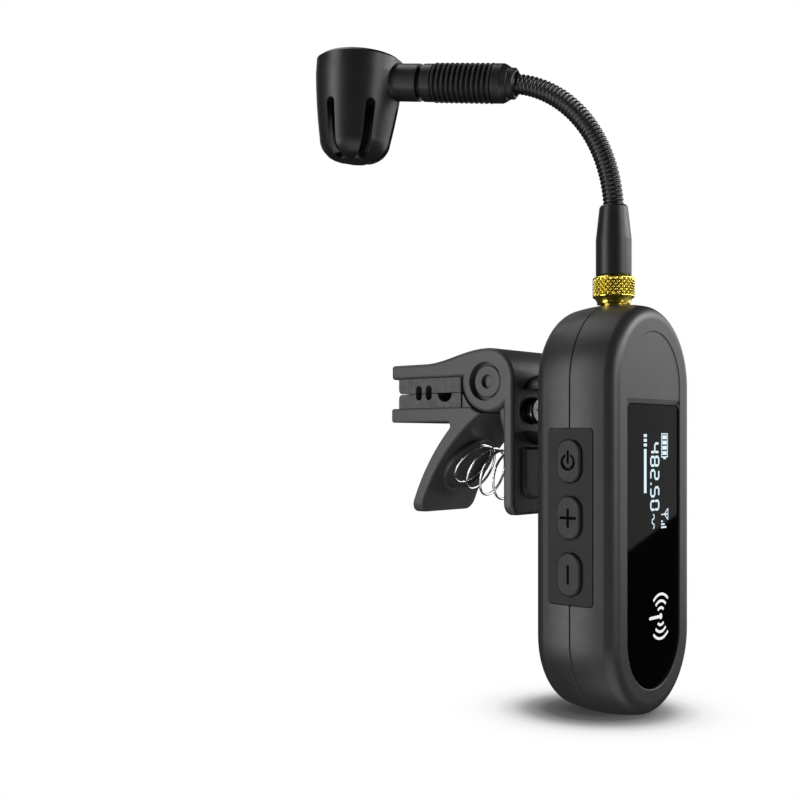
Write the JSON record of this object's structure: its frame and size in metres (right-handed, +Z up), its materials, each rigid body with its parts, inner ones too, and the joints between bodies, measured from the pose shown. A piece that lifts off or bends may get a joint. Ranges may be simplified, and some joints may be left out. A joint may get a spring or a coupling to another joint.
{
  "type": "wireless instrument transmitter with gooseneck microphone",
  "caption": "Pocket wireless transmitter with a display, side buttons, a screw-locked gooseneck clip-on microphone and a swivelling spring clip.",
  "frame": {"origin": "middle of the housing's bottom end, at the mouth of the charging socket, on the seam between the two shells", "axes": "+X across the housing's width, -Y out of its front face and window, +Z up the housing to the microphone"},
  "size_m": [0.0469, 0.074, 0.1449],
  "materials": {
    "shell_black": "fine satin texture",
    "clip_black": "satin moulded plastic",
    "lens_black": "polished smoked window",
    "button_black": "matt",
    "mic_black": "satin soft-touch",
    "rubber_black": "matt rubber",
    "gold": "bright gold-plated",
    "neck_black": "black-plated spiral hose",
    "chrome": "polished",
    "steel": "satin",
    "circuit_green": "solder mask",
    "component_black": "moulded package",
    "display_glass": "clear",
    "flex_amber": "polyimide film",
    "battery_foil": "foil pouch",
    "foam_grey": "foam",
    "insulator_black": "moulded"
  },
  "bodies": {
    "clip": {"clip_arm": "clip_black", "upper_pad": "rubber_black", "clip_pin": "clip_black", "swivel_screw": "chrome", "swivel_washer": "insulator_black", "clip_spring": "chrome"},
    "lever": {"clip_lever": "clip_black", "lower_pad": "rubber_black"},
    "transmitter": {"front_shell": "shell_black", "rear_shell": "shell_black", "display_lens": "lens_black", "display_module": "display_glass", "display_flex": "flex_amber", "button_panel": "button_black", "tact_switches": "component_black", "main_board": "circuit_green", "board_chips": "component_black", "radio_shield": "steel", "antenna": "gold", "usb_socket": "steel", "battery_cell": "battery_foil", "battery_pad": "foam_grey", "jack_socket": "component_black", "jack_contacts": "gold", "jack_bush": "gold", "shell_screws": "steel", "swivel_bracket": "clip_black", "bracket_screws": "steel"},
    "power": {"power_button": "button_black", "power_plunger": "insulator_black"},
    "plus": {"plus_button": "button_black", "plus_plunger": "insulator_black"},
    "minus": {"minus_button": "button_black", "minus_plunger": "insulator_black"},
    "plug": {"mic_plug": "gold", "plug_insulators": "insulator_black"},
    "nut": {"lock_nut": "gold"},
    "boot": {"gooseneck_boot": "rubber_black"},
    "neck_1": {"gooseneck_1": "neck_black", "mic_lead_1": "rubber_black"},
    "neck_2": {"gooseneck_2": "neck_black", "mic_lead_2": "rubber_black"},
    "neck_3": {"gooseneck_3": "neck_black", "mic_lead_3": "rubber_black"},
    "neck_4": {"gooseneck_4": "neck_black", "mic_lead_4": "rubber_black"},
    "neck_5": {"gooseneck_5": "neck_black", "mic_lead_5": "rubber_black"},
    "neck_6": {"gooseneck_6": "neck_black", "mic_lead_6": "rubber_black"},
    "grip": {"grip_core": "steel", "grip_collar": "mic_black", "grip_sleeve": "rubber_black", "grip_ferrule": "mic_black"},
    "head": {"neck_ring": "rubber_black", "mic_cage": "mic_black", "mic_cap": "mic_black", "mic_capsule": "steel", "capsule_mount": "rubber_black"}
  },
  "joints": [
    {"name": "clip_jaw", "type": "hinge", "parent": "clip", "child": "lever", "pos_m": [0, 0.0262, 0.06965], "axis": [-1, 0, 0], "range_deg": [0, 24], "stiffness_Nm_per_rad": 0.9, "springref_deg": -20.05, "deforming": ["clip_spring"]},
    {"name": "clip_swivel", "type": "hinge", "parent": "clip", "child": "transmitter", "pos_m": [0, 0.0202, 0.0633], "axis": [0, 1, 0], "continuous": true},
    {"name": "power_press", "type": "slide", "parent": "transmitter", "child": "power", "axis": [1, 0, 0], "range_m": [0, 0.00045], "stiffness_N_per_m": 3000, "springref_m": -0.0002},
    {"name": "plus_press", "type": "slide", "parent": "transmitter", "child": "plus", "axis": [1, 0, 0], "range_m": [0, 0.00045], "stiffness_N_per_m": 3000, "springref_m": -0.0002},
    {"name": "minus_press", "type": "slide", "parent": "transmitter", "child": "minus", "axis": [1, 0, 0], "range_m": [0, 0.00045], "stiffness_N_per_m": 3000, "springref_m": -0.0002},
    {"name": "plug_pull", "type": "slide", "parent": "transmitter", "child": "plug", "axis": [0, 0, 1], "range_m": [0, 0.018]},
    {"name": "nut_spin", "type": "hinge", "parent": "plug", "child": "nut", "pos_m": [0, 0, 0.0892], "axis": [0, 0, 1], "continuous": true},
    {"name": "boom_swivel", "type": "hinge", "parent": "plug", "child": "boot", "pos_m": [0, 0, 0.092], "axis": [0, 0, 1], "range_deg": [-180, 180]},
    {"name": "neck_bend_1", "type": "hinge", "parent": "boot", "child": "neck_1", "pos_m": [0, 0, 0.106], "axis": [-0.9397, -0.342, 0], "range_deg": [-10.5, 5]},
    {"name": "neck_bend_2", "type": "hinge", "parent": "neck_1", "child": "neck_2", "pos_m": [-0.00032, 0.00088, 0.11232], "axis": [-0.9397, -0.342, 0], "range_deg": [-10.5, 5]},
    {"name": "neck_bend_3", "type": "hinge", "parent": "neck_2", "child": "neck_3", "pos_m": [-0.001, 0.00276, 0.11839], "axis": [-0.9397, -0.342, 0], "range_deg": [-10.5, 5]},
    {"name": "neck_bend_4", "type": "hinge", "parent": "neck_3", "child": "neck_4", "pos_m": [-0.00208, 0.00572, 0.12395], "axis": [-0.9397, -0.342, 0], "range_deg": [-10.5, 5]},
    {"name": "neck_bend_5", "type": "hinge", "parent": "neck_4", "child": "neck_5", "pos_m": [-0.00356, 0.00978, 0.12866], "axis": [-0.9397, -0.342, 0], "range_deg": [-10.5, 5]},
    {"name": "neck_bend_6", "type": "hinge", "parent": "neck_5", "child": "neck_6", "pos_m": [-0.00539, 0.0148, 0.13215], "axis": [-0.9397, -0.342, 0], "range_deg": [-10.5, 5]},
    {"name": "neck_bend_7", "type": "hinge", "parent": "neck_6", "child": "grip", "pos_m": [-0.00747, 0.02052, 0.13404], "axis": [-0.9397, -0.342, 0], "range_deg": [-10.5, 5]},
    {"name": "head_swivel", "type": "hinge", "parent": "grip", "child": "head", "pos_m": [-0.01444, 0.03967, 0.13669], "axis": [-0.3392, 0.9319, 0.1288], "range_deg": [-90, 90]}
  ],
  "couplings": [
    {"joint": "neck_bend_2", "follows": "neck_bend_1", "ratio": 1},
    {"joint": "neck_bend_3", "follows": "neck_bend_1", "ratio": 1},
    {"joint": "neck_bend_4", "follows": "neck_bend_1", "ratio": 1},
    {"joint": "neck_bend_5", "follows": "neck_bend_1", "ratio": 1},
    {"joint": "neck_bend_6", "follows": "neck_bend_1", "ratio": 1},
    {"joint": "neck_bend_7", "follows": "neck_bend_1", "ratio": 1}
  ]
}
